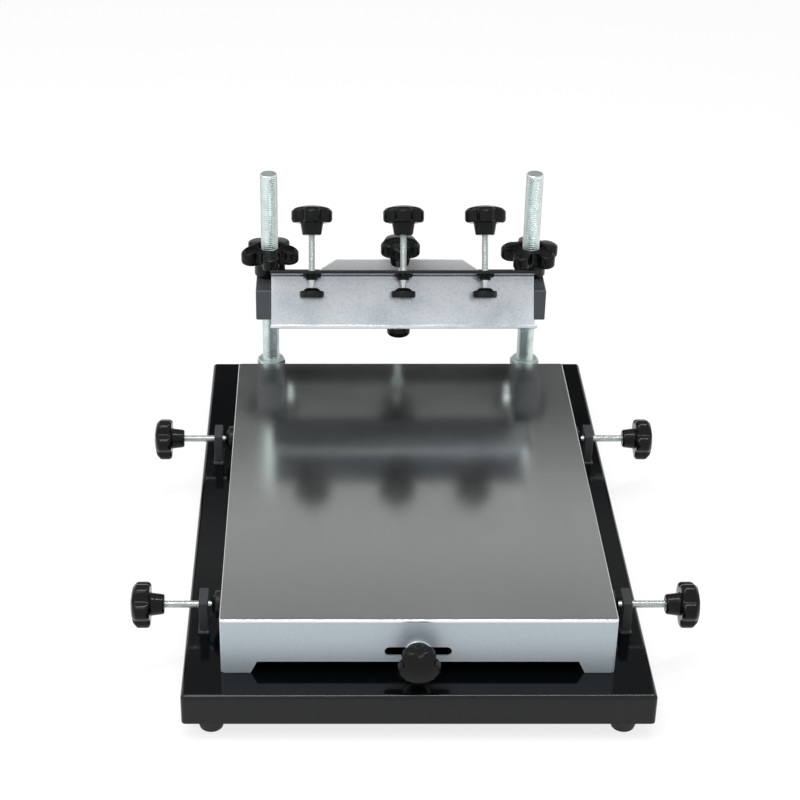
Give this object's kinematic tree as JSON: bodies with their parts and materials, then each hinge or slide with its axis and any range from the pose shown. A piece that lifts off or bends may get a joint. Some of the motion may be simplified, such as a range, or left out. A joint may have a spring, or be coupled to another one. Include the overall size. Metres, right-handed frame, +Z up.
{
  "type": "manual stencil printer",
  "caption": "Bench printer for solder paste: steel base, registration table moved by hand screws, and a tilting stencil frame clamp raised by star nuts on threaded columns.",
  "frame": {"origin": "on the bench, under the middle of the machine's outline", "axes": "+X to the operator's right, +Y from the front knob to the columns, +Z up"},
  "size_m": [0.4474, 0.524, 0.257],
  "materials": {
    "base_paint": "gloss black enamel",
    "foot_rubber": "black moulded rubber",
    "zinc_plate": "bright zinc plate",
    "bright_screw": "bright machined steel",
    "silver_paint": "fine silver paint",
    "polished_steel": "polished steel sheet",
    "hammer_paint": "silver hammer paint",
    "knob_plastic": "gloss black moulding",
    "pad_plastic": "satin black moulding"
  },
  "bodies": {
    "base": {"base_tray": "base_paint", "rubber_feet": "foot_rubber", "foot_screws": "zinc_plate", "foot_nuts": "zinc_plate", "side_brackets": "base_paint", "front_nut_bracket": "base_paint", "front_weld_nut": "zinc_plate", "left_column": "zinc_plate", "right_column": "zinc_plate", "column_washers": "zinc_plate", "column_nuts": "zinc_plate", "column_jam_nuts": "zinc_plate", "column_under_nuts": "zinc_plate"},
    "table_feed": {"front_washer": "zinc_plate", "front_collar": "zinc_plate"},
    "table": {"table_shell": "silver_paint", "table_top_plate": "polished_steel"},
    "front_hand_screw": {"front_screw": "bright_screw", "front_knob": "knob_plastic"},
    "lift": {"left_block": "base_paint", "right_block": "base_paint", "retaining_screws": "zinc_plate", "crossbar": "silver_paint", "crossbar_weld_nut": "zinc_plate", "pivot_bolts": "zinc_plate", "pivot_washers": "zinc_plate"},
    "left_nut": {"left_star_nut": "knob_plastic", "left_sleeve": "zinc_plate"},
    "right_nut": {"right_star_nut": "knob_plastic", "right_sleeve": "zinc_plate"},
    "holder": {"clamp_channel": "hammer_paint", "holder_ears": "hammer_paint", "clamp_weld_nuts": "zinc_plate"},
    "rear_foot": {"rear_pad": "pad_plastic"},
    "rear_hand_screw": {"rear_screw": "bright_screw", "rear_knob": "knob_plastic"},
    "left_front_foot": {"left_front_pad": "pad_plastic"},
    "left_front_hand_screw": {"left_front_screw": "bright_screw", "left_front_knob": "knob_plastic"},
    "left_rear_foot": {"left_rear_pad": "pad_plastic"},
    "left_rear_hand_screw": {"left_rear_screw": "bright_screw", "left_rear_knob": "knob_plastic"},
    "right_front_foot": {"right_front_pad": "pad_plastic"},
    "right_front_hand_screw": {"right_front_screw": "bright_screw", "right_front_knob": "knob_plastic"},
    "right_rear_foot": {"right_rear_pad": "pad_plastic"},
    "right_rear_hand_screw": {"right_rear_screw": "bright_screw", "right_rear_knob": "knob_plastic"},
    "left_clamp_foot": {"left_clamp_pad": "pad_plastic"},
    "left_clamp_hand_screw": {"left_clamp_screw": "bright_screw", "left_clamp_knob": "knob_plastic"},
    "middle_clamp_foot": {"middle_clamp_pad": "pad_plastic"},
    "middle_clamp_hand_screw": {"middle_clamp_screw": "bright_screw", "middle_clamp_knob": "knob_plastic"},
    "right_clamp_foot": {"right_clamp_pad": "pad_plastic"},
    "right_clamp_hand_screw": {"right_clamp_screw": "bright_screw", "right_clamp_knob": "knob_plastic"}
  },
  "joints": [
    {"name": "front_screw_spin", "type": "hinge", "parent": "table_feed", "child": "front_hand_screw", "pos_m": [0, -0.2325, 0.061], "axis": [0, 1, 0], "range_deg": [-2882, 2882]},
    {"name": "table_feed_slide", "type": "slide", "parent": "base", "child": "table_feed", "axis": [0, 1, 0], "range_m": [-0.008, 0.008]},
    {"name": "table_shift_slide", "type": "slide", "parent": "table_feed", "child": "table", "axis": [1, 0, 0], "range_m": [-0.0025, 0.0025]},
    {"name": "left_front_pad_slide", "type": "slide", "parent": "base", "child": "left_front_foot", "axis": [1, 0, 0], "range_m": [-0.00251, 0.00251]},
    {"name": "left_front_screw_spin", "type": "hinge", "parent": "left_front_foot", "child": "left_front_hand_screw", "pos_m": [-0.151, -0.171, 0.061], "axis": [1, 0, 0], "range_deg": [-902, 902]},
    {"name": "left_rear_pad_slide", "type": "slide", "parent": "base", "child": "left_rear_foot", "axis": [1, 0, 0], "range_m": [-0.00251, 0.00251]},
    {"name": "left_rear_screw_spin", "type": "hinge", "parent": "left_rear_foot", "child": "left_rear_hand_screw", "pos_m": [-0.151, 0.083, 0.061], "axis": [1, 0, 0], "range_deg": [-902, 902]},
    {"name": "right_front_pad_slide", "type": "slide", "parent": "base", "child": "right_front_foot", "axis": [1, 0, 0], "range_m": [-0.00251, 0.00251]},
    {"name": "right_front_screw_spin", "type": "hinge", "parent": "right_front_foot", "child": "right_front_hand_screw", "pos_m": [0.151, -0.171, 0.061], "axis": [1, 0, 0], "range_deg": [-902, 902]},
    {"name": "right_rear_pad_slide", "type": "slide", "parent": "base", "child": "right_rear_foot", "axis": [1, 0, 0], "range_m": [-0.00251, 0.00251]},
    {"name": "right_rear_screw_spin", "type": "hinge", "parent": "right_rear_foot", "child": "right_rear_hand_screw", "pos_m": [0.151, 0.083, 0.061], "axis": [1, 0, 0], "range_deg": [-902, 902]},
    {"name": "left_nut_spin", "type": "hinge", "parent": "lift", "child": "left_nut", "pos_m": [-0.1225, 0.2289, 0.125], "axis": [0, 0, 1], "range_deg": [-3242, 10802]},
    {"name": "right_nut_spin", "type": "hinge", "parent": "lift", "child": "right_nut", "pos_m": [0.1225, 0.2289, 0.125], "axis": [0, 0, 1], "range_deg": [-3242, 10802]},
    {"name": "lift_slide", "type": "slide", "parent": "base", "child": "lift", "axis": [0, 0, 1], "range_m": [-0.018, 0.06]},
    {"name": "holder_pivot", "type": "hinge", "parent": "lift", "child": "holder", "pos_m": [0, 0.2035, 0.1405], "axis": [1, 0, 0], "range_deg": [-35, 29]},
    {"name": "left_clamp_slide", "type": "slide", "parent": "holder", "child": "left_clamp_foot", "axis": [0, -0.4848, -0.8746], "range_m": [-0.006, 0.02]},
    {"name": "left_clamp_spin", "type": "hinge", "parent": "left_clamp_foot", "child": "left_clamp_hand_screw", "pos_m": [-0.0825, 0.14248, 0.17295], "axis": [0, -0.4848, -0.8746], "range_deg": [-2160, 7200]},
    {"name": "middle_clamp_slide", "type": "slide", "parent": "holder", "child": "middle_clamp_foot", "axis": [0, -0.4848, -0.8746], "range_m": [-0.006, 0.02]},
    {"name": "middle_clamp_spin", "type": "hinge", "parent": "middle_clamp_foot", "child": "middle_clamp_hand_screw", "pos_m": [0, 0.14248, 0.17295], "axis": [0, -0.4848, -0.8746], "range_deg": [-2160, 7200]},
    {"name": "right_clamp_slide", "type": "slide", "parent": "holder", "child": "right_clamp_foot", "axis": [0, -0.4848, -0.8746], "range_m": [-0.006, 0.02]},
    {"name": "right_clamp_spin", "type": "hinge", "parent": "right_clamp_foot", "child": "right_clamp_hand_screw", "pos_m": [0.0735, 0.14248, 0.17295], "axis": [0, -0.4848, -0.8746], "range_deg": [-2160, 7200]},
    {"name": "rear_foot_slide", "type": "slide", "parent": "lift", "child": "rear_foot", "axis": [0, 0, -1], "range_m": [-0.012, 0.009]},
    {"name": "rear_screw_spin", "type": "hinge", "parent": "rear_foot", "child": "rear_hand_screw", "pos_m": [0, 0.2289, 0.0915], "axis": [0, 0, -1], "range_deg": [-4320, 3240]}
  ],
  "couplings": [
    {"joint": "front_screw_spin", "follows": "table_feed_slide", "rad_per_m": 6283.2},
    {"joint": "left_front_pad_slide", "follows": "table_shift_slide", "ratio": 1},
    {"joint": "left_front_screw_spin", "follows": "table_shift_slide", "rad_per_m": 6283.2},
    {"joint": "left_rear_pad_slide", "follows": "table_shift_slide", "ratio": 1},
    {"joint": "left_rear_screw_spin", "follows": "table_shift_slide", "rad_per_m": 6283.2},
    {"joint": "right_front_pad_slide", "follows": "table_shift_slide", "ratio": 1},
    {"joint": "right_front_screw_spin", "follows": "table_shift_slide", "rad_per_m": 6283.2},
    {"joint": "right_rear_pad_slide", "follows": "table_shift_slide", "ratio": 1},
    {"joint": "right_rear_screw_spin", "follows": "table_shift_slide", "rad_per_m": 6283.2},
    {"joint": "left_nut_spin", "follows": "lift_slide", "rad_per_m": 3141.6},
    {"joint": "right_nut_spin", "follows": "lift_slide", "rad_per_m": 3141.6},
    {"joint": "left_clamp_slide", "follows": "left_clamp_spin", "m_per_rad": 0.00015915},
    {"joint": "middle_clamp_slide", "follows": "middle_clamp_spin", "m_per_rad": 0.00015915},
    {"joint": "right_clamp_slide", "follows": "right_clamp_spin", "m_per_rad": 0.00015915},
    {"joint": "rear_foot_slide", "follows": "rear_screw_spin", "m_per_rad": 0.00015915}
  ]
}
